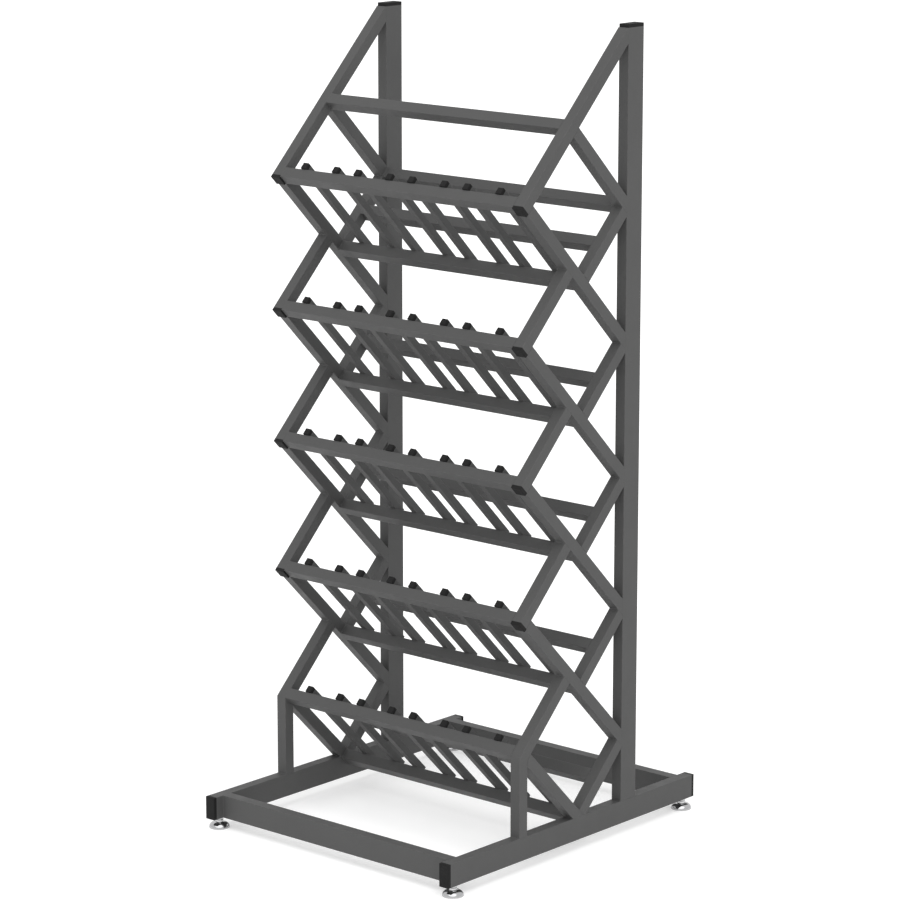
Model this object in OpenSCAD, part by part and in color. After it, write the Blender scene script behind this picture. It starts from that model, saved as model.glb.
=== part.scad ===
// Free-standing tyre storage rack: two welded side frames of square tube joined by cross bars,
// with five sloping cradles of slats, on four levelling feet.
// X runs across the rack, Y from front to back, Z up. The origin is on the floor, under the
// middle of the rack's outline.

/* [Rack] */
// Width over the two side frames
rack_w = 830; // [780:1:880]
// Front to back length of the base, over the end caps
base_depth = 976; // [970:1:1040]
// Height from the floor to the top of the upright caps
rack_h = 2075; // [2072:1:2120]
// Vertical distance from one cradle to the next
tier_pitch = 342.5; // [339:0.5:342.5]
// Height of the lowest cradle's front corner above the floor
low_corner_z = 298; // [294:0.5:298.5]
// Distance from the base's front end to the front posts
post_setback = 267.5; // [200:0.5:270]
// Distance from the front posts' front face to the uprights' front face
frame_depth = 401.5; // [396:0.5:402]

/* [Tubes] */
// Side of the square tube, and the thin side of the flat tube
tube = 30; // [28:0.5:30]
// Wide side of the flat tube of the base and the uprights
flat_tube = 60; // [56:1:60]
// Wall of all the frame tubes
wall = 2; // [1.5:0.5:2.5]
// Side of the slats' square tube
slat_tube = 18; // [16:1:20]
// Wall of the slats' tube
slat_wall = 1.5; // [1:0.5:2]
// Distance of the cross rails from the ends of the base
cross_inset = 33; // [30:1:40]

/* [Slats] */
// Distance between the two slats of a pair
pair_gap = 106; // [95:1:110]
// Distance between the middles of neighbouring pairs
pair_pitch = 179.5; // [170:0.5:180]

/* [End caps] */
// Length of the heads of the caps on the base rails, struts and uprights
cap_rim = 9; // [6:0.5:10]
// Length of the heads of the caps on the slats
slat_cap_rim = 10; // [6:0.5:12]
// Depth to which a cap's plug goes into its tube
plug_depth = 12; // [8:1:15]

/* [Feet] */
// Height of the base above the floor with the feet screwed in
foot_h = 28; // [27:1:32]
// Diameter of the domed foot pad
pad_d = 54; // [48:1:58]
// Height of the domed foot pad
pad_h = 15; // [14:0.5:16]
// Diameter of the threaded stem
stem_d = 12; // [10:1:12]
// Length of the stem above the foot pad's socket
stem_len = 60; // [55:1:64]
// Diameter of the stem's round collar
collar_d = 20; // [18:1:22]
// Width across the flats of the locknut
nut_flats = 19; // [18:0.5:20]
// Distance of the feet from the ends of the base
foot_inset = 34; // [32:1:40]

/* [Hidden] */

tiers = 5;
left = -1;
right = 1;
front = -1;
rear = 1;
steel_grey = [0.36, 0.36, 0.36];
cap_black = [0.17, 0.17, 0.17];

// The side frames' inner and outer faces, and the middle of their tubes
outer_x = rack_w / 2;
inner_x = outer_x - tube;
frame_x = outer_x - tube / 2;
bar_len = 2 * inner_x;

// Places along Y
front_y = -base_depth / 2;
post_y = front_y + post_setback;
upright_y = post_y + frame_depth;
foot_y = base_depth / 2 - foot_inset;

// Places along Z
rail_top_z = foot_h + flat_tube;
upright_top_z = rack_h - cap_rim;
rail_len = base_depth - 2 * cap_rim;

// The back bars lie a little below the middle of the rear struts' free length
back_bar_drop = 2.5;

// The lattice. Every sloping tube lies at 45 degrees, so a side frame is drawn in two
// distances from the front corner of a tier: s down and back, n up and back.
cell = tier_pitch / sqrt(2);
rear_s = 2 * tube;
upright_sn = frame_depth * sqrt(2);
rail_sn = (low_corner_z - rail_top_z) * sqrt(2);
bar_s = rear_s + cell;
node_n = 2 * cell;
back_bar_n = (cell + node_n) / 2 - back_bar_drop;

// The caps of the slats and struts stand out by this much past the front bar's faces
slat_cap_out = 4;
strut_cap_out = 5;
slat_s = slat_cap_rim - slat_cap_out;
strut_n = cap_rim - strut_cap_out;

// Foot details
running_gap = 0.05;
rest_gap = 0.1;
socket_r = 8;
socket_z = 6;
nut_h = 6;
nut_gap = 0.5;
collar_top_z = foot_h - nut_h - nut_gap;
weld_nut_side = 22;
weld_nut_h = 10;
thread_clear_d = stem_d + 2;
pad_rim_h = 2;
pad_neck_r = 11;
pad_recess_r = 18;
pad_recess_h = 1.5;

function tier_z(tier) = low_corner_z + (tiers - tier) * tier_pitch;

// Turns a list of [s, n] points of a tier into [y, z] points
function lattice(tier, points) = [
    for (p = points) [post_y + (p[0] + p[1]) / sqrt(2), tier_z(tier) + (p[1] - p[0]) / sqrt(2)]
];

// Centres of the slats: two of them in each of four pairs
slat_xs = [
    for (pair = [-1.5, -0.5, 0.5, 1.5], half = [-0.5, 0.5]) pair * pair_pitch + half * pair_gap
];

// ---- Shapes that repeat ----

// A polygon drawn in [y, z] and given a thickness along X, centred on x
module yz_plate(points, x, thick) {
    translate([x - thick / 2, 0, 0])
        rotate([90, 0, 90])
            linear_extrude(thick)
                polygon(points);
}

// One sloping tube of each side frame. outline is its shape in [s, n], along_n says that it
// runs up and back, and band is the side of it nearest to the tier's front corner.
module frame_tubes(tier, outline, band, along_n) {
    reach = 3 * node_n;
    bore = along_n
        ? [[band + wall, -reach], [band + tube - wall, -reach],
           [band + tube - wall, reach], [band + wall, reach]]
        : [[-reach, band + wall], [-reach, band + tube - wall],
           [reach, band + tube - wall], [reach, band + wall]];
    color(steel_grey)
        for (side = [left, right])
            difference() {
                yz_plate(lattice(tier, outline), side * frame_x, tube);
                yz_plate(lattice(tier, bore), side * frame_x, tube - 2 * wall);
            }
}

// A square cross bar between the side frames, turned to lie in line with the sloping tubes
module cross_bar(tier, s, n) {
    outline = [[s, n], [s + tube, n], [s + tube, n + tube], [s, n + tube]];
    bore = [[s + wall, n + wall], [s + tube - wall, n + wall],
            [s + tube - wall, n + tube - wall], [s + wall, n + tube - wall]];
    color(steel_grey)
        difference() {
            yz_plate(lattice(tier, outline), 0, bar_len);
            yz_plate(lattice(tier, bore), 0, bar_len + 2);
        }
}

// A hexagon or square nut with a round bore, standing on z
module nut(x, y, z, height, flats, sides) {
    translate([x, y, z])
        difference() {
            rotate([0, 0, 180 / sides])
                cylinder(h = height, d = flats / cos(180 / sides), $fn = sides);
            translate([0, 0, -1])
                cylinder(h = height + 2, d = stem_d, $fn = 48);
        }
}

// A plug for a tube: a rim as large as the tube and a hollow body that goes into it.
// It stands on z = 0, with its rim up.
module tube_cap(w, d, t, rim) {
    fit = 0.2;
    skin = 2;
    plug_w = w - 2 * t - fit;
    plug_d = d - 2 * t - fit;
    translate([-w / 2, -d / 2, 0])
        cube([w, d, rim]);
    difference() {
        translate([-plug_w / 2, -plug_d / 2, -plug_depth])
            cube([plug_w, plug_d, plug_depth]);
        translate([-plug_w / 2 + skin, -plug_d / 2 + skin, -plug_depth - 1])
            cube([plug_w - 2 * skin, plug_d - 2 * skin, plug_depth + 1]);
    }
}

// ---- Base ----

module side_rail(side) {
    color(steel_grey)
        difference() {
            translate([side * frame_x - tube / 2, front_y + cap_rim, foot_h])
                cube([tube, rail_len, flat_tube]);
            translate([side * frame_x - tube / 2 + wall, front_y, foot_h + wall])
                cube([tube - 2 * wall, base_depth, flat_tube - 2 * wall]);
            for (end = [front, rear])
                translate([side * frame_x, end * foot_y, foot_h - 1])
                    cylinder(h = wall + 2, d = thread_clear_d, $fn = 48);
        }
}

module base_cross_rail(y) {
    color(steel_grey)
        difference() {
            translate([-inner_x, y, foot_h])
                cube([bar_len, tube, flat_tube]);
            translate([-inner_x - 1, y + wall, foot_h + wall])
                cube([bar_len + 2, tube - 2 * wall, flat_tube - 2 * wall]);
        }
}

// ---- Uprights and posts ----

module upright(side) {
    height = upright_top_z - rail_top_z;
    color(steel_grey)
        difference() {
            translate([side * frame_x - tube / 2, upright_y, rail_top_z])
                cube([tube, flat_tube, height]);
            translate([side * frame_x - tube / 2 + wall, upright_y + wall, rail_top_z - 1])
                cube([tube - 2 * wall, flat_tube - 2 * wall, height + 2]);
        }
}

// The post's top is mitred to the lowest front strut
module front_post(side) {
    miter_drop = (sqrt(2) - 1) * tube;
    outline = [
        [post_y, rail_top_z], [post_y + tube, rail_top_z],
        [post_y + tube, low_corner_z - miter_drop], [post_y, low_corner_z]
    ];
    bore = [
        [post_y + wall, rail_top_z - 1], [post_y + tube - wall, rail_top_z - 1],
        [post_y + tube - wall, low_corner_z + tube], [post_y + wall, low_corner_z + tube]
    ];
    color(steel_grey)
        difference() {
            yz_plate(outline, side * frame_x, tube);
            yz_plate(bore, side * frame_x, tube - 2 * wall);
        }
}

// ---- Sloping tubes of the side frames ----

// From the head of the uprights down to the first front corner. Where a tip would stand
// above the uprights it is cut off level with them.
module top_braces() {
    tip_n = (upright_top_z - tier_z(1)) * sqrt(2);
    tip = tip_n < upright_sn
        ? [[(upright_sn - tip_n) / 2, (upright_sn + tip_n) / 2], [0, tip_n]]
        : [[0, upright_sn]];
    outline = concat([[0, strut_n], [tube, strut_n], [tube, upright_sn - tube]], tip);
    frame_tubes(1, outline, 0, true);
}

// From the top bar down to the uprights
module top_struts() {
    outline = [
        [tube, cell], [upright_sn - cell, cell],
        [upright_sn - cell - tube, cell + tube], [tube, cell + tube]
    ];
    frame_tubes(1, outline, cell, false);
}

// From the underside of the cradle above down to a tier's front corner
module front_struts(tier) {
    miter_n = (sqrt(2) - 1) * tube;
    low_end = tier == tiers ? [[0, 0], [tube, miter_n]] : [[0, strut_n], [tube, strut_n]];
    frame_tubes(tier, concat(low_end, [[tube, cell], [0, cell]]), 0, true);
}

// From the uprights down to the upper side of the cradle. The lowest one also meets the base.
module rear_struts(tier) {
    base_s = (low_corner_z - tier_pitch - rail_top_z) * sqrt(2);
    low_s = cell + tube + base_s;
    low_end = tier == tiers
        ? [[rear_s, cell + tube], [low_s, cell + tube], [rear_s + tube, rear_s + tube - base_s]]
        : [[rear_s, cell + tube], [rear_s + tube, cell + tube]];
    high_end = [
        [rear_s + tube, upright_sn - rear_s - tube], [upright_sn - node_n, node_n],
        [rear_s, node_n]
    ];
    frame_tubes(tier + 1, concat(low_end, high_end), rear_s, true);
}

// From a tier's front corner down to the uprights, or to the base on the lowest tier
module cradle_rails(tier) {
    miter_n = (sqrt(2) - 1) * tube;
    outline = tier == tiers
        ? [[tube, tube], [tube, miter_n], [tube * sqrt(2), 0], [rail_sn, 0],
           [rail_sn + tube, tube]]
        : [[tube, 0], [upright_sn, 0], [upright_sn - tube, tube], [tube, tube]];
    frame_tubes(tier, outline, 0, false);
}

// ---- Cross bars ----

module top_bar() {
    cross_bar(1, 0, cell);
}

module header_bar() {
    cross_bar(1, bar_s, cell);
}

module front_bar(tier) {
    cross_bar(tier, 0, 0);
}

module cradle_bar(tier) {
    cross_bar(tier, bar_s, 0);
}

module back_bar(tier) {
    cross_bar(tier + 1, rear_s, back_bar_n);
}

// ---- Slats ----

// Each slat lies on the front bar and the cradle bar of its tier
module slats(tier) {
    outline = [
        [slat_s, tube], [bar_s + tube, tube],
        [bar_s + tube, tube + slat_tube], [slat_s, tube + slat_tube]
    ];
    low_n = tube + slat_wall;
    high_n = tube + slat_tube - slat_wall;
    bore = [[-1, low_n], [bar_s + tube + 1, low_n], [bar_s + tube + 1, high_n], [-1, high_n]];
    color(steel_grey)
        for (x = slat_xs)
            difference() {
                yz_plate(lattice(tier, outline), x, slat_tube);
                yz_plate(lattice(tier, bore), x, slat_tube - 2 * slat_wall);
            }
}

// ---- Plastic end caps ----

module slat_caps() {
    color(cap_black)
        for (tier = [1 : tiers], x = slat_xs) {
            place = lattice(tier, [[slat_s, tube + slat_tube / 2]])[0];
            translate([x, place[0], place[1]])
                rotate([45, 0, 0])
                    tube_cap(slat_tube, slat_tube, slat_wall, slat_cap_rim);
        }
}

// In the lower ends of the struts, at the front corners of all tiers but the lowest
module strut_end_caps() {
    color(cap_black)
        for (tier = [1 : tiers - 1], side = [left, right]) {
            place = lattice(tier, [[tube / 2, strut_n]])[0];
            translate([side * frame_x, place[0], place[1]])
                rotate([135, 0, 0])
                    tube_cap(tube, tube, wall, cap_rim);
        }
}

module upright_caps() {
    color(cap_black)
        for (side = [left, right])
            translate([side * frame_x, upright_y + flat_tube / 2, upright_top_z])
                tube_cap(tube, flat_tube, wall, cap_rim);
}

module rail_end_caps() {
    color(cap_black)
        for (side = [left, right], end = [front, rear])
            translate([side * frame_x, end * rail_len / 2, foot_h + flat_tube / 2])
                rotate([-end * 90, 0, 0])
                    tube_cap(tube, flat_tube, wall, cap_rim);
}

// ---- Feet ----

module weld_nuts() {
    color("silver")
        for (side = [left, right], end = [front, rear])
            nut(side * frame_x, end * foot_y, foot_h + wall, weld_nut_h, weld_nut_side, 4);
}

module locknuts() {
    color("silver")
        for (side = [left, right], end = [front, rear])
            nut(side * frame_x, end * foot_y, foot_h - nut_h, nut_h, nut_flats, 6);
}

// A domed pad with a round socket for the stem and a shallow recess underneath
module foot_pad(side, end) {
    steps = 12;
    dome = [
        for (i = [0 : steps])
            [pad_neck_r + (pad_d / 2 - pad_neck_r) * cos(90 * i / steps),
             pad_rim_h + (pad_h - pad_rim_h) * sin(90 * i / steps)]
    ];
    profile = concat(
        [[0, pad_recess_h], [pad_recess_r, pad_recess_h], [pad_recess_r, 0], [pad_d / 2, 0]],
        dome,
        [[socket_r, pad_h], [socket_r, socket_z], [0, socket_z]]
    );
    color("silver")
        translate([side * frame_x, end * foot_y, 0])
            rotate_extrude($fn = 64)
                polygon(profile);
}

// A threaded stem with a round collar, which turns in the pad's socket
module stem(side, end) {
    stem_top_z = socket_z + 2 + stem_len;
    color("silver")
        translate([side * frame_x, end * foot_y, 0]) {
            translate([0, 0, socket_z + rest_gap])
                cylinder(h = pad_h - socket_z, r = socket_r - running_gap, $fn = 48);
            translate([0, 0, pad_h + rest_gap])
                cylinder(h = collar_top_z - pad_h - rest_gap, d = collar_d, $fn = 48);
            translate([0, 0, collar_top_z - 1])
                cylinder(h = stem_top_z - collar_top_z + 1, r = stem_d / 2 - running_gap, $fn = 48);
        }
}

side_rail(left);  // side_rail_left
side_rail(right);  // side_rail_right
base_cross_rail(front_y + cross_inset);  // front_cross_rail
base_cross_rail(-front_y - cross_inset - tube);  // rear_cross_rail
upright(left);  // upright_left
upright(right);  // upright_right
front_post(left);  // front_post_left
front_post(right);  // front_post_right
top_braces();
top_struts();
front_struts(2);  // front_struts_2
front_struts(3);  // front_struts_3
front_struts(4);  // front_struts_4
front_struts(5);  // front_struts_5
rear_struts(1);  // rear_struts_1
rear_struts(2);  // rear_struts_2
rear_struts(3);  // rear_struts_3
rear_struts(4);  // rear_struts_4
rear_struts(5);  // rear_struts_5
cradle_rails(1);  // cradle_rails_1
cradle_rails(2);  // cradle_rails_2
cradle_rails(3);  // cradle_rails_3
cradle_rails(4);  // cradle_rails_4
cradle_rails(5);  // cradle_rails_5
top_bar();
header_bar();
front_bar(1);  // front_bar_1
front_bar(2);  // front_bar_2
front_bar(3);  // front_bar_3
front_bar(4);  // front_bar_4
front_bar(5);  // front_bar_5
cradle_bar(1);  // cradle_bar_1
cradle_bar(2);  // cradle_bar_2
cradle_bar(3);  // cradle_bar_3
cradle_bar(4);  // cradle_bar_4
cradle_bar(5);  // cradle_bar_5
back_bar(1);  // back_bar_1
back_bar(2);  // back_bar_2
back_bar(3);  // back_bar_3
back_bar(4);  // back_bar_4
back_bar(5);  // back_bar_5
slats(1);  // slats_1
slats(2);  // slats_2
slats(3);  // slats_3
slats(4);  // slats_4
slats(5);  // slats_5
slat_caps();
strut_end_caps();
upright_caps();
rail_end_caps();
weld_nuts();
locknuts();
foot_pad(left, front);  // foot_pad_front_left
foot_pad(right, front);  // foot_pad_front_right
foot_pad(left, rear);  // foot_pad_rear_left
foot_pad(right, rear);  // foot_pad_rear_right
stem(left, front);  // stem_front_left
stem(right, front);  // stem_front_right
stem(left, rear);  // stem_rear_left
stem(right, rear);  // stem_rear_right
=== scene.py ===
"""The looks of the tyre storage rack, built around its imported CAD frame, in metres."""

import math

import bmesh
import bpy
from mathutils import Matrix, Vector


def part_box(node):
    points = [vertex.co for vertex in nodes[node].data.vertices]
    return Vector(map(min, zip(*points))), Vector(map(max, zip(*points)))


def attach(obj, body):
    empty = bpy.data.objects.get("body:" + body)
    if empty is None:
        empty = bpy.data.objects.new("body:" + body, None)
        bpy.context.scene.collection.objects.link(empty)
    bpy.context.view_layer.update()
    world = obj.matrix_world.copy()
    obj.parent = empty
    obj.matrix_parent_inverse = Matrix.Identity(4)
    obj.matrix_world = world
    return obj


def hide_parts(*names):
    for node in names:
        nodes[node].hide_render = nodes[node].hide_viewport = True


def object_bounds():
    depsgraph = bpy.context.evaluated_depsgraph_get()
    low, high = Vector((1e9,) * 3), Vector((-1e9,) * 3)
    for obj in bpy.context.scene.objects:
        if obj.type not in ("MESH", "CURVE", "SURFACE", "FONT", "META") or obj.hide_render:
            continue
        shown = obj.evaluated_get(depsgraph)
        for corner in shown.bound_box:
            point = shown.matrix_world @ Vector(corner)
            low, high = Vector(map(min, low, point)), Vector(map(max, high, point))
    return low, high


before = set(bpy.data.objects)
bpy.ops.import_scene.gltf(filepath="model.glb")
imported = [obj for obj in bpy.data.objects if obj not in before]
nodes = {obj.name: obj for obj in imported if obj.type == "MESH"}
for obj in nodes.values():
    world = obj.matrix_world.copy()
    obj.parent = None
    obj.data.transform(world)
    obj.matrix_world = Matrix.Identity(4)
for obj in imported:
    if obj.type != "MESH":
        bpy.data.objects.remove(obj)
cad_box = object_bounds()

MM = 0.001
ROOT_2 = math.sqrt(2)
TIERS = (1, 2, 3, 4, 5)
LOWEST = TIERS[-1]
SIDES = {"left": -1, "right": 1}
RIGHT = Vector((1, 0, 0))
BACK = Vector((0, 1, 0))
UP = Vector((0, 0, 1))

# ---- Sizes worked out from the frame ----

rail_low, rail_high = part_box("side_rail_right")
cross_low, cross_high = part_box("front_cross_rail")
rear_cross_low, rear_cross_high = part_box("rear_cross_rail")
post_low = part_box("front_post_right")[0]
upright_low, upright_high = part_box("upright_right")
first_bar_low, first_bar_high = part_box("front_bar_1")
last_bar_low, last_bar_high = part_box("front_bar_5")
back_bar_low, back_bar_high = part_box("back_bar_1")
slats_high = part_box("slats_1")[1]
slat_caps_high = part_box("slat_caps")[1]
strut_caps_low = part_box("strut_end_caps")[0]
pad_low, pad_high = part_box("foot_pad_front_right")
rear_pad_low, rear_pad_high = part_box("foot_pad_rear_right")
stem_low, stem_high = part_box("stem_front_right")
nut_low, nut_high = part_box("locknuts")

TUBE = rail_high.x - rail_low.x
FLAT_TUBE = rail_high.z - rail_low.z
WALL = 2 * MM
SLAT_WALL = 1.5 * MM
FRAME_X = (rail_low.x + rail_high.x) / 2
INNER_X = rail_low.x
RAIL_TOP = rail_high.z
POST_Y = post_low.y
UPRIGHT_Y = upright_low.y
LOW_CORNER = (last_bar_low.z + last_bar_high.z) / 2
PITCH = ((first_bar_low.z + first_bar_high.z) / 2 - LOW_CORNER) / (len(TIERS) - 1)

# The lattice: s runs down and back, n up and back, both from the front corner of a tier
DOWN_BACK = (BACK - UP).normalized()
UP_BACK = (BACK + UP).normalized()
CELL = PITCH / ROOT_2
REAR_S = 2 * TUBE
BAR_S = REAR_S + CELL
NODE_N = 2 * CELL
BACK_BAR_N = ((back_bar_low.y + back_bar_high.y) / 2 - POST_Y) * ROOT_2 - REAR_S - TUBE
UPRIGHT_SN = (UPRIGHT_Y - POST_Y) * ROOT_2
RAIL_SN = (LOW_CORNER - RAIL_TOP) * ROOT_2
MITER = (ROOT_2 - 1) * TUBE

# The slats: each one leaves four X positions, of its two sides and of its bore
slat_planes = sorted({round(v.co.x, 4) for v in nodes["slats_1"].data.vertices})
SLAT_XS = [(a + b) / 2 for a, b in zip(slat_planes[0::4], slat_planes[3::4])]
SLAT = slat_planes[3] - slat_planes[0]
FIRST_CORNER = LOW_CORNER + (LOWEST - 1) * PITCH
SLAT_START = TUBE + SLAT - (slats_high.z - FIRST_CORNER) * ROOT_2

# Caps
SLAT_CAP_RIM = (slat_caps_high.z - slats_high.z) * ROOT_2
CAP_RIM = cad_box[1][2] - upright_high.z
LAST_CAPPED = LOWEST - 1
capped_corner = LOW_CORNER + (LOWEST - LAST_CAPPED) * PITCH
STRUT_START = (strut_caps_low.z - capped_corner) * ROOT_2 + TUBE + CAP_RIM
PLUG_DEPTH = 12 * MM
PLUG_SKIN = 2 * MM
PLUG_FIT = 0.1 * MM
PLUG_FLOOR = 0.5 * MM
CAP_FILLET = 0.8 * MM
CAP_CROWN = 0.25 * MM
CAP_CROWN_INSET = 4 * MM
CAP_CROWN_CORNER = 1.5 * MM
LEAST_CAP_CORNER = 0.4 * MM

# Feet
FOOT_YS = {"front": (pad_low.y + pad_high.y) / 2, "rear": (rear_pad_low.y + rear_pad_high.y) / 2}
PAD_R = (pad_high.x - pad_low.x) / 2
PAD_TOP = pad_high.z
COLLAR_R = (stem_high.x - stem_low.x) / 2
NUT_FLATS = 19 * MM
NUT_BORE_R = 6 * MM
STEM_HOLE_R = 7 * MM
ROD_R = 5.95 * MM
THREAD_PITCH = 1.75 * MM
THREAD_DEPTH = 1.0 * MM
SOCKET_DEPTH = 9 * MM
STEM_GAP = 0.1 * MM
AXIS_R = 0.1 * MM

# Details that the frame leaves plain
TUBE_CORNER = 1 * MM
SLAT_CORNER = 0.8 * MM
INNER_CORNER = 0.5 * MM
CORNER_STEPS = 4
BEAD_R = 2 * MM
SLAT_BEAD_R = 1.6 * MM
BEAD_STEP = 2 * MM
BEAD_SIDES = 8
BEAD_END_SIZE = 0.55
BEAD_RIPPLE_SIZE = 0.88
BEAD_WEAR = 0.3
BEAD_SMOOTH_BELOW = 60


def tier_z(tier):
    return LOW_CORNER + (LOWEST - tier) * PITCH


def lattice(tier, s, n, x=0.0):
    """The point at s and n of a tier, at x."""
    return Vector((x, POST_Y + (s + n) / ROOT_2, tier_z(tier) + (n - s) / ROOT_2))


# ---- Meshes ----


class Shape:
    """Points and faces of a piece, with the wear that each point gets, from 0 to 1."""

    def __init__(self):
        self.points, self.faces, self.wear = [], [], []

    def loop(self, points, wear):
        first = len(self.points)
        self.points += points
        self.wear += wear
        return list(range(first, len(self.points)))

    def bridge(self, a, b):
        for i in range(len(a)):
            j = (i + 1) % len(a)
            self.faces.append((a[i], a[j], b[j], b[i]))

    def skin(self, loops, ring=False):
        """Joins loops into one surface: a ring, or a body closed by its first and last loop."""
        for a, b in zip(loops, loops[1:]):
            self.bridge(a, b)
        if ring:
            self.bridge(loops[-1], loops[0])
        else:
            self.faces += [tuple(reversed(loops[0])), tuple(loops[-1])]


def end_at(end, v):
    """The place of a cut end at v: end is a line of (v, place) points across the tube."""
    for (v0, t0), (v1, t1) in zip(end, end[1:]):
        if v <= v1:
            break
    return t0 + (t1 - t0) * (v - v0) / (v1 - v0)


def rounded_loop(size_v, size_w, inset, radius, breaks=()):
    """(v, w, wear) points round a rounded rectangle, with v from 0 and w about the middle.
    breaks are places along v that get a point on both long sides."""
    near, far = inset + radius, size_v - inset - radius
    half = size_w / 2 - inset
    corners = ((far, 1, 0), (near, 1, 90), (near, -1, 180), (far, -1, 270))
    points = []
    for centre_v, side, start in corners:
        for step in range(CORNER_STEPS + 1):
            angle = math.radians(start + 90 * step / CORNER_STEPS)
            wear = 1.0 if 0 < step < CORNER_STEPS else 0.0
            centre_w = side * (half - radius)
            points.append(
                (centre_v + radius * math.cos(angle), centre_w + radius * math.sin(angle), wear)
            )
        if start == 0:
            points += [(v, half, 0.0) for v in sorted(breaks, reverse=True)]
        if start == 180:
            points += [(v, -half, 0.0) for v in sorted(breaks)]
    return points


def add_stack(shape, axes, sizes, layers, ring=False):
    """A body along an axis, of rounded rectangles. axes are its origin and its directions
    along, across (v) and sideways (w); a layer is (inset, corner radius, end line)."""
    origin, along, across, sideways = axes
    size_v, size_w = sizes
    breaks = sorted({v for _, _, end in layers for v, _ in end[1:-1]})
    loops = []
    for inset, radius, end in layers:
        section = rounded_loop(size_v, size_w, inset, radius, breaks)
        points = [
            origin + along * end_at(end, v) + across * v + sideways * w for v, w, _ in section
        ]
        loops.append(shape.loop(points, [wear for _, _, wear in section]))
    shape.skin(loops, ring)


def add_tube(shape, axes, sizes, low, high, wall=WALL, corner=TUBE_CORNER):
    """A hollow tube with rounded corners. low and high are its ends: a place, or an end line."""
    low, high = (
        end if isinstance(end, list) else [(0, end), (sizes[0], end)] for end in (low, high)
    )
    layers = [(0, corner, low), (0, corner, high),
              (wall, INNER_CORNER, high), (wall, INNER_CORNER, low)]
    add_stack(shape, axes, sizes, layers, ring=True)


def add_cap(shape, axes, sizes, wall, corner, rim):
    """A moulded plug: a head with a rounded edge and a slight crown, and a hollow body that
    goes into the tube. axes point out of the tube."""
    plug_corner = 0.6 * MM
    steps = 4

    def flat(place):
        return [(0, place), (sizes[0], place)]

    layers = []
    plug = wall + PLUG_FIT
    inner = plug + PLUG_SKIN
    layers.append((inner, LEAST_CAP_CORNER, flat(-PLUG_FLOOR)))
    layers.append((inner, LEAST_CAP_CORNER, flat(-PLUG_DEPTH)))
    layers.append((plug, plug_corner, flat(-PLUG_DEPTH)))
    layers.append((plug, plug_corner, flat(0)))
    layers.append((0, corner, flat(0)))
    for step in range(steps + 1):
        angle = math.radians(90 * step / steps)
        inset = CAP_FILLET * (1 - math.cos(angle))
        place = rim - CAP_CROWN - CAP_FILLET * (1 - math.sin(angle))
        layers.append((inset, max(corner - inset, LEAST_CAP_CORNER), flat(place)))
    layers.append((CAP_CROWN_INSET, CAP_CROWN_CORNER, flat(rim)))
    add_stack(shape, axes, sizes, layers)


def add_lathe(shape, centre, profile, segments=64, radius_at=None):
    """A body turned about Z. profile is (radius, z, wear); the first and last are closed."""
    loops = []
    for radius, z, wear in profile:
        points = []
        for i in range(segments):
            angle = 2 * math.pi * i / segments
            r = radius_at(radius, angle, z) if radius_at else radius
            points.append(centre + Vector((r * math.cos(angle), r * math.sin(angle), z)))
        loops.append(shape.loop(points, [wear] * segments))
    shape.skin(loops)


def add_bead(shape, start, end, radius=BEAD_R):
    """A weld bead with ripples from start to end, tapered at both ends."""
    line = end - start
    along = line.normalized()
    first = along.orthogonal().normalized()
    second = along.cross(first)
    steps = max(4, round(line.length / BEAD_STEP) * 2)
    loops = []
    for step in range(steps + 1):
        taper = BEAD_END_SIZE if step in (0, steps) else 1.0
        ripple = 1.0 if step % 2 else BEAD_RIPPLE_SIZE
        ring = []
        for i in range(BEAD_SIDES):
            angle = 2 * math.pi * i / BEAD_SIDES
            reach = radius * taper * ripple
            ring.append(
                start + line * (step / steps)
                + first * (reach * math.cos(angle)) + second * (reach * math.sin(angle))
            )
        loops.append(shape.loop(ring, [BEAD_WEAR] * BEAD_SIDES))
    shape.skin(loops)


# ---- Materials ----


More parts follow.
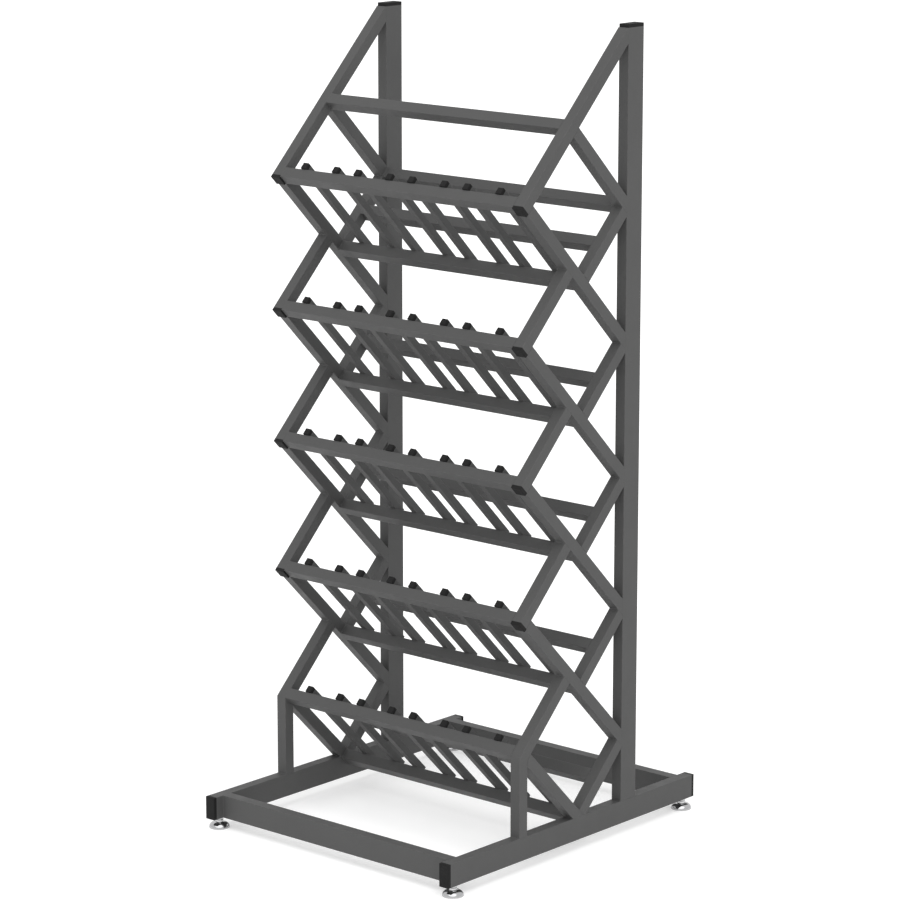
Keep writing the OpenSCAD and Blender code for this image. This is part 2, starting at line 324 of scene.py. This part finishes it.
class Nodes:
    """Short ways to add and link the nodes of one material."""

    def __init__(self, name, metallic):
        self.material = bpy.data.materials.new(name)
        self.material.use_nodes = True
        self.tree = self.material.node_tree
        self.shader = self.tree.nodes["Principled BSDF"]
        self.shader.inputs["Metallic"].default_value = metallic
        self.place = self.tree.nodes.new("ShaderNodeTexCoord").outputs["Object"]

    def link(self, output, node, socket):
        self.tree.links.new(output, node.inputs[socket])

    def noise(self, per_metre, detail=2.0, roughness=0.5):
        node = self.tree.nodes.new("ShaderNodeTexNoise")
        node.inputs["Scale"].default_value = per_metre
        node.inputs["Detail"].default_value = detail
        node.inputs["Roughness"].default_value = roughness
        self.link(self.place, node, "Vector")
        return node.outputs["Fac"]

    def spread(self, value, low, high, start=0.3, end=0.7):
        """Maps value from start..end to low..high."""
        node = self.tree.nodes.new("ShaderNodeMapRange")
        for socket, number in (
            ("From Min", start), ("From Max", end), ("To Min", low), ("To Max", high)
        ):
            node.inputs[socket].default_value = number
        self.link(value, node, "Value")
        return node.outputs["Result"]

    def multiply(self, a, b):
        node = self.tree.nodes.new("ShaderNodeMath")
        node.operation = "MULTIPLY"
        self.link(a, node, 0)
        self.link(b, node, 1)
        return node.outputs[0]

    def mix(self, share, low, high):
        """A colour from low to high, which are colours or outputs."""
        node = self.tree.nodes.new("ShaderNodeMix")
        node.data_type = "RGBA"
        self.tree.links.new(share, node.inputs[0])
        for socket, colour in ((node.inputs[6], low), (node.inputs[7], high)):
            if isinstance(colour, tuple):
                socket.default_value = (*colour, 1.0)
            else:
                self.tree.links.new(colour, socket)
        return node.outputs[2]

    def wear(self):
        node = self.tree.nodes.new("ShaderNodeAttribute")
        node.attribute_name = "wear"
        return node.outputs["Fac"]

    def bump(self, height, strength, distance, under=None):
        node = self.tree.nodes.new("ShaderNodeBump")
        node.inputs["Strength"].default_value = strength
        node.inputs["Distance"].default_value = distance
        self.link(height, node, "Height")
        if under is not None:
            self.link(under, node, "Normal")
        return node.outputs["Normal"]


def powder_coat():
    """Satin dark grey powder coat: orange peel, a little mottling, and thin or rubbed edges."""
    m = Nodes("powder_coat_satin", 0.0)
    m.shader.inputs["Specular IOR Level"].default_value = 0.12
    mottled = m.mix(m.noise(5, 3.0), (0.072, 0.072, 0.072), (0.082, 0.082, 0.0815))
    specks = m.spread(m.noise(700, 3.0), 0.0, 0.35, 0.52, 0.74)
    speckled = m.mix(specks, mottled, (0.096, 0.096, 0.095))
    rubbed = m.multiply(m.wear(), m.spread(m.noise(60, 4.0, 0.6), 0.0, 0.5, 0.42, 0.66))
    m.link(m.mix(rubbed, speckled, (0.130, 0.130, 0.128)), m.shader, "Base Color")
    m.link(m.spread(m.noise(24, 4.0), 0.42, 0.56), m.shader, "Roughness")
    peel = m.bump(m.noise(620, 2.0), 0.25, 0.12 * MM)
    m.link(m.bump(m.noise(2600, 1.0), 0.12, 0.05 * MM, peel), m.shader, "Normal")
    return m.material


def cap_plastic():
    """Black moulded polyethylene with a fine spark-eroded grain."""
    m = Nodes("cap_plastic_black", 0.0)
    grain = m.noise(1800, 3.0, 0.6)
    m.shader.inputs["Specular IOR Level"].default_value = 0.06
    body = m.mix(m.noise(40, 3.0), (0.014, 0.014, 0.014), (0.018, 0.018, 0.018))
    scuffed = m.multiply(m.wear(), m.spread(m.noise(220, 4.0, 0.6), 0.0, 0.6, 0.45, 0.7))
    m.link(m.mix(scuffed, body, (0.028, 0.028, 0.028)), m.shader, "Base Color")
    m.link(m.spread(grain, 0.52, 0.70), m.shader, "Roughness")
    m.link(m.bump(grain, 0.3, 0.06 * MM), m.shader, "Normal")
    return m.material


def foot_chrome():
    """Chrome plating with faint smudges and the slight waves of polished steel."""
    m = Nodes("foot_chrome_plate", 1.0)
    tint = m.mix(m.noise(90, 3.0), (0.42, 0.42, 0.43), (0.50, 0.50, 0.505))
    m.link(m.mix(m.multiply(m.wear(), m.noise(300, 3.0)), tint, (0.66, 0.66, 0.66)),
           m.shader, "Base Color")
    m.link(m.spread(m.noise(130, 4.0, 0.6), 0.06, 0.2, 0.35, 0.75), m.shader, "Roughness")
    m.link(m.bump(m.noise(160, 1.0), 0.1, 0.05 * MM), m.shader, "Normal")
    return m.material


def nut_zinc():
    """Zinc-plated steel: a cool grey with cloudy patches and fine tool marks."""
    m = Nodes("nut_zinc_plate", 1.0)
    cloudy = m.mix(m.noise(160, 4.0, 0.6), (0.36, 0.37, 0.39), (0.52, 0.53, 0.54))
    m.link(m.mix(m.multiply(m.wear(), m.noise(500, 2.0)), cloudy, (0.72, 0.72, 0.71)),
           m.shader, "Base Color")
    m.link(m.spread(m.noise(420, 3.0), 0.24, 0.44), m.shader, "Roughness")
    m.link(m.bump(m.noise(1500, 2.0), 0.2, 0.04 * MM), m.shader, "Normal")
    return m.material


MATERIALS = {
    "powder_coat": powder_coat(),
    "cap_plastic": cap_plastic(),
    "foot_chrome": foot_chrome(),
    "nut_zinc": nut_zinc(),
}


def make_piece(shape, name, slot, body="rack", replaced=(), smooth_below=35):
    """Turns a shape into an object with its finish, which rides on a body."""
    mesh = bpy.data.meshes.new(name)
    mesh.from_pydata(shape.points, [], shape.faces)
    work = bmesh.new()
    work.from_mesh(mesh)
    bmesh.ops.recalc_face_normals(work, faces=work.faces)
    work.to_mesh(mesh)
    work.free()
    mesh.attributes.new("wear", "FLOAT", "POINT").data.foreach_set("value", shape.wear)
    mesh.shade_smooth()
    mesh.set_sharp_from_angle(angle=math.radians(smooth_below))
    mesh.materials.append(MATERIALS[slot])
    piece = bpy.data.objects.new(name, mesh)
    bpy.context.scene.collection.objects.link(piece)
    weighted = piece.modifiers.new("flat faces stay flat", "WEIGHTED_NORMAL")
    weighted.keep_sharp = True
    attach(piece, body)
    if replaced:
        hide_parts(*replaced)
    return piece


def drill(piece, centres, radius, low, high):
    """Cuts round holes along Z through a piece."""
    for centre in centres:
        cutter_mesh = bpy.data.meshes.new("cutter")
        cutter_shape = Shape()
        add_lathe(cutter_shape, centre, [(radius, low, 0), (radius, high, 0)], 48)
        cutter_mesh.from_pydata(cutter_shape.points, [], cutter_shape.faces)
        cutter = bpy.data.objects.new("cutter", cutter_mesh)
        bpy.context.scene.collection.objects.link(cutter)
        cut = piece.modifiers.new("hole", "BOOLEAN")
        cut.object = cutter
        cut.solver = "EXACT"
        bpy.context.view_layer.objects.active = piece
        bpy.ops.object.modifier_move_to_index(modifier=cut.name, index=0)
        bpy.ops.object.modifier_apply(modifier=cut.name)
        bpy.data.objects.remove(cutter)
        bpy.data.meshes.remove(cutter_mesh)


# ---- Base, uprights and posts ----

BASE_SECTION = (TUBE, FLAT_TUBE)
SQUARE = (TUBE, TUBE)
base_middle_z = (rail_low.z + rail_high.z) / 2

for side, sign in SIDES.items():
    x = sign * FRAME_X
    rail = Shape()
    add_tube(rail, (Vector((x - TUBE / 2, 0, base_middle_z)), BACK, RIGHT, UP), BASE_SECTION,
             rail_low.y, rail_high.y)
    rail_piece = make_piece(rail, f"side_rail_{side}_tube", "powder_coat",
                            replaced=[f"side_rail_{side}"])
    drill(rail_piece, [Vector((x, y, 0)) for y in FOOT_YS.values()], STEM_HOLE_R,
          rail_low.z - WALL, rail_low.z + 2 * WALL)

    upright = Shape()
    middle_y = (upright_low.y + upright_high.y) / 2
    add_tube(upright, (Vector((x - TUBE / 2, middle_y, 0)), UP, RIGHT, BACK), BASE_SECTION,
             upright_low.z, upright_high.z)
    make_piece(upright, f"upright_{side}_tube", "powder_coat", replaced=[f"upright_{side}"])

    post = Shape()
    add_tube(post, (Vector((x, POST_Y, 0)), UP, BACK, RIGHT), SQUARE,
             post_low.z, [(0, LOW_CORNER), (TUBE, LOW_CORNER - MITER)])
    make_piece(post, f"front_post_{side}_tube", "powder_coat", replaced=[f"front_post_{side}"])

for end, low_y in (("front", cross_low.y), ("rear", rear_cross_low.y)):
    rail = Shape()
    add_tube(rail, (Vector((0, low_y, base_middle_z)), RIGHT, BACK, UP), BASE_SECTION,
             -INNER_X, INNER_X)
    make_piece(rail, f"{end}_cross_rail_tube", "powder_coat", replaced=[f"{end}_cross_rail"])


# ---- Sloping tubes of the side frames ----


def side_frame_tubes(node, tier, band, along_n, low, high):
    """A pair of sloping tubes, one in each side frame, that stand for a node."""
    shape = Shape()
    for sign in SIDES.values():
        x = sign * FRAME_X
        if along_n:
            axes = (lattice(tier, band, 0, x), UP_BACK, DOWN_BACK, RIGHT)
        else:
            axes = (lattice(tier, 0, band, x), DOWN_BACK, UP_BACK, RIGHT)
        add_tube(shape, axes, SQUARE, low, high)
    make_piece(shape, f"{node}_tubes", "powder_coat", replaced=[node])


tip_n = (upright_high.z - tier_z(1)) * ROOT_2
side_frame_tubes("top_braces", 1, 0, True, STRUT_START,
                 [(0, tip_n), ((UPRIGHT_SN - tip_n) / 2, (UPRIGHT_SN + tip_n) / 2),
                  (TUBE, UPRIGHT_SN - TUBE)])
side_frame_tubes("top_struts", 1, CELL, False, TUBE,
                 [(0, UPRIGHT_SN - CELL), (TUBE, UPRIGHT_SN - CELL - TUBE)])
base_s = (LOW_CORNER - PITCH - RAIL_TOP) * ROOT_2
for tier in TIERS:
    lowest = tier == LOWEST
    if tier > 1:
        low = [(0, 0), (TUBE, MITER)] if lowest else STRUT_START
        side_frame_tubes(f"front_struts_{tier}", tier, 0, True, low, CELL)
    low = [(0, CELL + TUBE), (TUBE, CELL + TUBE)]
    if lowest:
        meets_base = CELL + TUBE + base_s - REAR_S
        low = [(0, CELL + TUBE), (meets_base, CELL + TUBE), (TUBE, REAR_S + TUBE - base_s)]
    high = [(0, NODE_N), (UPRIGHT_SN - NODE_N - REAR_S, NODE_N),
            (TUBE, UPRIGHT_SN - REAR_S - TUBE)]
    side_frame_tubes(f"rear_struts_{tier}", tier + 1, REAR_S, True, low, high)
    low = [(0, TUBE), (TUBE, TUBE)]
    high = [(0, UPRIGHT_SN), (TUBE, UPRIGHT_SN - TUBE)]
    if lowest:
        low = [(0, TUBE * ROOT_2), (MITER, TUBE), (TUBE, TUBE)]
        high = [(0, RAIL_SN), (TUBE, RAIL_SN + TUBE)]
    side_frame_tubes(f"cradle_rails_{tier}", tier, 0, False, low, high)


# ---- Cross bars ----

# Each bar: its node, tier, s and n, and the sides that have another tube's face to weld to
cross_bars = [
    ("top_bar", 1, 0, CELL, ("high_s", "low_n", "high_n")),
    ("header_bar", 1, BAR_S, CELL, ("low_s", "high_s", "low_n")),
]
for tier in TIERS:
    front_sides = ("high_s", "high_n", "low_n") if tier == LOWEST else ("high_s", "high_n")
    cross_bars += [
        (f"front_bar_{tier}", tier, 0, 0, front_sides),
        (f"cradle_bar_{tier}", tier, BAR_S, 0, ("low_s", "high_s", "high_n")),
        (f"back_bar_{tier}", tier + 1, REAR_S, BACK_BAR_N, ("low_n", "high_n")),
    ]
for node, tier, s, n, _ in cross_bars:
    bar = Shape()
    axes = (lattice(tier, s, n + TUBE / 2), RIGHT, DOWN_BACK, UP_BACK)
    add_tube(bar, axes, SQUARE, -INNER_X, INNER_X)
    make_piece(bar, f"{node}_tube", "powder_coat", replaced=[node])


# ---- Slats ----

for tier in TIERS:
    slats = Shape()
    for x in SLAT_XS:
        axes = (lattice(tier, 0, TUBE, x), DOWN_BACK, UP_BACK, RIGHT)
        add_tube(slats, axes, (SLAT, SLAT), SLAT_START, BAR_S + TUBE, SLAT_WALL, SLAT_CORNER)
    make_piece(slats, f"slats_{tier}_tubes", "powder_coat", replaced=[f"slats_{tier}"])


# ---- Plastic caps ----

caps = Shape()
for tier in TIERS:
    for x in SLAT_XS:
        axes = (lattice(tier, SLAT_START, TUBE, x), -DOWN_BACK, UP_BACK, RIGHT)
        add_cap(caps, axes, (SLAT, SLAT), SLAT_WALL, SLAT_CORNER, SLAT_CAP_RIM)
make_piece(caps, "slat_caps_moulded", "cap_plastic", replaced=["slat_caps"])

caps = Shape()
for tier in TIERS[:-1]:
    for sign in SIDES.values():
        axes = (lattice(tier, 0, STRUT_START, sign * FRAME_X), -UP_BACK, DOWN_BACK, RIGHT)
        add_cap(caps, axes, SQUARE, WALL, TUBE_CORNER, CAP_RIM)
make_piece(caps, "strut_end_caps_moulded", "cap_plastic", replaced=["strut_end_caps"])

caps = Shape()
for sign in SIDES.values():
    corner = Vector((sign * FRAME_X - TUBE / 2, (upright_low.y + upright_high.y) / 2,
                     upright_high.z))
    add_cap(caps, (corner, UP, RIGHT, BACK), BASE_SECTION, WALL, TUBE_CORNER, CAP_RIM)
make_piece(caps, "upright_caps_moulded", "cap_plastic", replaced=["upright_caps"])

caps = Shape()
for sign in SIDES.values():
    for end, y in ((-1, rail_low.y), (1, rail_high.y)):
        corner = Vector((sign * FRAME_X - TUBE / 2, y, base_middle_z))
        add_cap(caps, (corner, BACK * end, RIGHT, UP), BASE_SECTION, WALL, TUBE_CORNER, CAP_RIM)
make_piece(caps, "rail_end_caps_moulded", "cap_plastic", replaced=["rail_end_caps"])


# ---- Weld beads ----


def bead_across(shape, point):
    """A bead across the width of a side frame's tube, in both side frames."""
    for sign in SIDES.values():
        middle = point + RIGHT * (sign * FRAME_X)
        reach = RIGHT * (TUBE / 2 - TUBE_CORNER)
        add_bead(shape, middle - reach, middle + reach)


frame_welds = Shape()
corners = [
    (1, TUBE, CELL), (1, TUBE, CELL + TUBE),
    (1, UPRIGHT_SN - CELL, CELL), (1, UPRIGHT_SN - CELL - TUBE, CELL + TUBE),
    (1, TUBE, UPRIGHT_SN - TUBE),
    (LOWEST, RAIL_SN, 0), (LOWEST, RAIL_SN + TUBE, TUBE), (LOWEST, TUBE * ROOT_2, 0),
    (LOWEST + 1, REAR_S + TUBE, REAR_S + TUBE - base_s),
]
for tier in TIERS:
    corners += [(tier, TUBE, TUBE), (tier + 1, REAR_S, CELL + TUBE), (tier + 1, REAR_S, NODE_N),
                (tier + 1, REAR_S + TUBE, UPRIGHT_SN - REAR_S - TUBE)]
    if tier > 1:
        corners += [(tier, 0, CELL), (tier, TUBE, CELL)]
    if tier != LOWEST:
        corners += [(tier, UPRIGHT_SN, 0), (tier, UPRIGHT_SN - TUBE, TUBE),
                    (tier + 1, REAR_S + TUBE, CELL + TUBE)]
for tier, s, n in corners:
    bead_across(frame_welds, lattice(tier, s, n))
for y in (POST_Y, POST_Y + TUBE, UPRIGHT_Y, upright_high.y):
    bead_across(frame_welds, Vector((0, y, RAIL_TOP)))
make_piece(frame_welds, "side_frame_welds", "powder_coat", smooth_below=BEAD_SMOOTH_BELOW)

bar_welds = Shape()
keep = TUBE_CORNER
for _, tier, s, n, welded in cross_bars:
    lines = {
        "low_s": ((s, n + keep), (s, n + TUBE - keep)),
        "high_s": ((s + TUBE, n + keep), (s + TUBE, n + TUBE - keep)),
        "low_n": ((s + keep, n), (s + TUBE - keep, n)),
        "high_n": ((s + keep, n + TUBE), (s + TUBE - keep, n + TUBE)),
    }
    for sign in SIDES.values():
        for weld in welded:
            start, end = (lattice(tier, *at, sign * INNER_X) for at in lines[weld])
            add_bead(bar_welds, start, end)
for sign in SIDES.values():
    for y in (cross_low.y, cross_high.y, rear_cross_low.y, rear_cross_high.y):
        start = Vector((sign * INNER_X, y, rail_low.z + keep))
        add_bead(bar_welds, start, start + UP * (FLAT_TUBE - 2 * keep))
make_piece(bar_welds, "cross_bar_welds", "powder_coat", smooth_below=BEAD_SMOOTH_BELOW)

slat_welds = Shape()
for tier in TIERS:
    for x in SLAT_XS:
        for side_x in (x - SLAT / 2, x + SLAT / 2):
            for start_s, end_s in ((SLAT_START, TUBE), (BAR_S, BAR_S + TUBE)):
                add_bead(slat_welds, lattice(tier, start_s + keep, TUBE, side_x),
                         lattice(tier, end_s - keep, TUBE, side_x), SLAT_BEAD_R)
make_piece(slat_welds, "slat_welds", "powder_coat", smooth_below=BEAD_SMOOTH_BELOW)


# ---- Feet ----


def pad_profile():
    """The pad's outline, from the middle of its underside round to its socket's floor."""
    neck_r, recess_r, recess_h = 11 * MM, 18 * MM, 1.5 * MM
    socket_r, socket_z = 8 * MM, 6 * MM
    edge, rim_h, steps = 0.6 * MM, 2 * MM, 20
    points = [
        (AXIS_R, recess_h, 0), (recess_r, recess_h, 0), (recess_r, edge, 0),
        (recess_r + edge, 0, 0.5), (PAD_R - edge, 0, 0.5), (PAD_R, edge, 1),
    ]
    for i in range(steps + 1):
        angle = math.radians(90 * i / steps)
        radius = neck_r + (PAD_R - neck_r) * math.cos(angle)
        points.append((radius, rim_h + (PAD_TOP - rim_h) * math.sin(angle), 0))
    points += [
        (socket_r + edge, PAD_TOP, 0.5), (socket_r, PAD_TOP - edge, 0.5),
        (socket_r, socket_z, 0), (AXIS_R, socket_z, 0),
    ]
    return points


def thread_radius(radius, angle, z):
    """Cuts a right-hand thread into a stem: the crests lie on radius."""
    turn = (z / THREAD_PITCH - angle / (2 * math.pi)) % 1.0
    groove = abs(2 * turn - 1)
    return radius - THREAD_DEPTH * groove


def add_stem(shape, centre):
    """The ball end in the socket, the round collar, and the threaded rod above it."""
    socket_z, collar_z = PAD_TOP - SOCKET_DEPTH + STEM_GAP, PAD_TOP + STEM_GAP
    collar_top = nut_low.z - 0.5 * MM
    ball_r, edge = 7.95 * MM, 0.6 * MM
    profile = [
        (AXIS_R, socket_z, 0), (ball_r - 2 * edge, socket_z, 0),
        (ball_r, socket_z + 2 * edge, 0), (ball_r, collar_z, 0),
        (COLLAR_R - edge, collar_z, 0.5), (COLLAR_R, collar_z + edge, 1),
        (COLLAR_R, collar_top - edge, 1), (COLLAR_R - edge, collar_top, 0.5),
        (ROD_R - THREAD_DEPTH, collar_top, 0), (AXIS_R, collar_top + STEM_GAP, 0),
    ]
    add_lathe(shape, centre, profile)
    per_turn = 8
    steps = round((stem_high.z - collar_top) / THREAD_PITCH * per_turn)
    rings = [(ROD_R, collar_top + (stem_high.z - edge - collar_top) * i / steps, 0.2)
             for i in range(steps + 1)]
    add_lathe(shape, centre, rings, 32, thread_radius)


def add_nut(shape, centre, low, high, flats):
    """A hexagon nut with chamfered corners and bore."""
    bore, face_r, segments = NUT_BORE_R, 0.48 * flats, 72
    slope = math.tan(math.radians(30))
    edge = 0.5 * MM

    def outline(angle):
        sector = (angle + math.pi / 6) % (math.pi / 3) - math.pi / 6
        return flats / 2 / math.cos(sector)

    def ring(kind):
        points = []
        for i in range(segments):
            angle = 2 * math.pi * i / segments
            hexagon = outline(angle)
            drop = (hexagon - face_r) * slope
            radius, z = {
                "low bore": (bore, low + edge), "low face": (bore + edge, low),
                "low circle": (face_r, low), "low hexagon": (hexagon, low + drop),
                "high hexagon": (hexagon, high - drop), "high circle": (face_r, high),
                "high face": (bore + edge, high), "high bore": (bore, high - edge),
            }[kind]
            points.append(centre + Vector((radius * math.cos(angle), radius * math.sin(angle), z)))
        return shape.loop(points, [1.0 if "hexagon" in kind else 0.3] * segments)

    kinds = ("low bore", "low face", "low circle", "low hexagon",
             "high hexagon", "high circle", "high face", "high bore")
    shape.skin([ring(kind) for kind in kinds], ring=True)


locknuts = Shape()
for end, y in FOOT_YS.items():
    for side, sign in SIDES.items():
        centre = Vector((sign * FRAME_X, y, 0))
        corner_name = f"{end}_{side}"
        add_nut(locknuts, centre, nut_low.z, nut_high.z, NUT_FLATS)
        pad = Shape()
        add_lathe(pad, centre, pad_profile(), 96)
        make_piece(pad, f"foot_pad_{corner_name}_dome", "foot_chrome", f"foot_{corner_name}",
                   [f"foot_pad_{corner_name}"])
        stem = Shape()
        add_stem(stem, centre)
        make_piece(stem, f"stem_{corner_name}_threaded", "foot_chrome",
                   f"screw_{corner_name}", [f"stem_{corner_name}"])
make_piece(locknuts, "locknuts_chamfered", "nut_zinc", replaced=["locknuts"])

weld_nuts = nodes["weld_nuts"]
weld_nuts.data.materials.clear()
weld_nuts.data.materials.append(MATERIALS["nut_zinc"])


# ---- Floor, light and camera ----


def make_floor():
    """A round pale floor, whose rim curls down out of sight."""
    shape = Shape()
    rings = [(0.05, 0.0), (2.0, 0.0), (8.0, 0.0), (20.0, 0.0), (45.0, 0.0), (48.0, -0.5)]
    loops = []
    for radius, z in rings:
        points = [Vector((radius * math.cos(a), radius * math.sin(a), z))
                  for a in (2 * math.pi * i / 96 for i in range(96))]
        loops.append(shape.loop(points, [0.0] * len(points)))
    for a, b in zip(loops, loops[1:]):
        shape.bridge(a, b)
    shape.faces.append(tuple(reversed(loops[0])))
    mesh = bpy.data.meshes.new("floor")
    mesh.from_pydata(shape.points, [], shape.faces)
    floor = bpy.data.objects.new("floor", mesh)
    bpy.context.scene.collection.objects.link(floor)
    m = Nodes("floor_white", 0.0)
    m.link(m.mix(m.noise(0.6), (0.68, 0.68, 0.68), (0.72, 0.72, 0.72)), m.shader, "Base Color")
    m.shader.inputs["Roughness"].default_value = 0.9
    m.shader.inputs["Specular IOR Level"].default_value = 0.1
    m.shader.inputs["Emission Color"].default_value = (1, 1, 1, 1)
    m.shader.inputs["Emission Strength"].default_value = 0.4
    mesh.materials.append(m.material)


def add_sun(name, direction, strength, spread):
    """A wide soft sun. direction points from the rack to the light."""
    data = bpy.data.lights.new(name, "SUN")
    data.energy = strength
    data.angle = math.radians(spread)
    light = bpy.data.objects.new(name, data)
    light.location = direction.normalized() * 6
    light.rotation_euler = direction.to_track_quat("Z", "Y").to_euler()
    bpy.context.scene.collection.objects.link(light)


make_floor()
world = bpy.data.worlds.new("studio")
bpy.context.scene.world = world
world.use_nodes = True
world.node_tree.nodes["Background"].inputs["Color"].default_value = (1, 1, 1, 1)
world.node_tree.nodes["Background"].inputs["Strength"].default_value = 1.0
add_sun("overhead_softbox", Vector((0.12, -0.16, 0.30)), 1.16, 70)

CAMERA_PLACE = Vector((6.0000, -6.8531, 3.0039))
CAMERA_AZIMUTH = math.radians(41.237)
CAMERA_ELEVATION = math.radians(12.534)
CAMERA_LENS = 146.725

camera_data = bpy.data.cameras.new("camera")
camera_data.lens = CAMERA_LENS
camera_data.sensor_width = 36.0
camera_data.clip_end = 200.0
camera = bpy.data.objects.new("camera", camera_data)
camera.location = CAMERA_PLACE
look = Vector((-math.sin(CAMERA_AZIMUTH) * math.cos(CAMERA_ELEVATION),
               math.cos(CAMERA_AZIMUTH) * math.cos(CAMERA_ELEVATION),
               -math.sin(CAMERA_ELEVATION)))
camera.rotation_euler = look.to_track_quat("-Z", "Y").to_euler()
bpy.context.scene.collection.objects.link(camera)
bpy.context.scene.camera = camera
bpy.context.scene.view_settings.view_transform = "Standard"
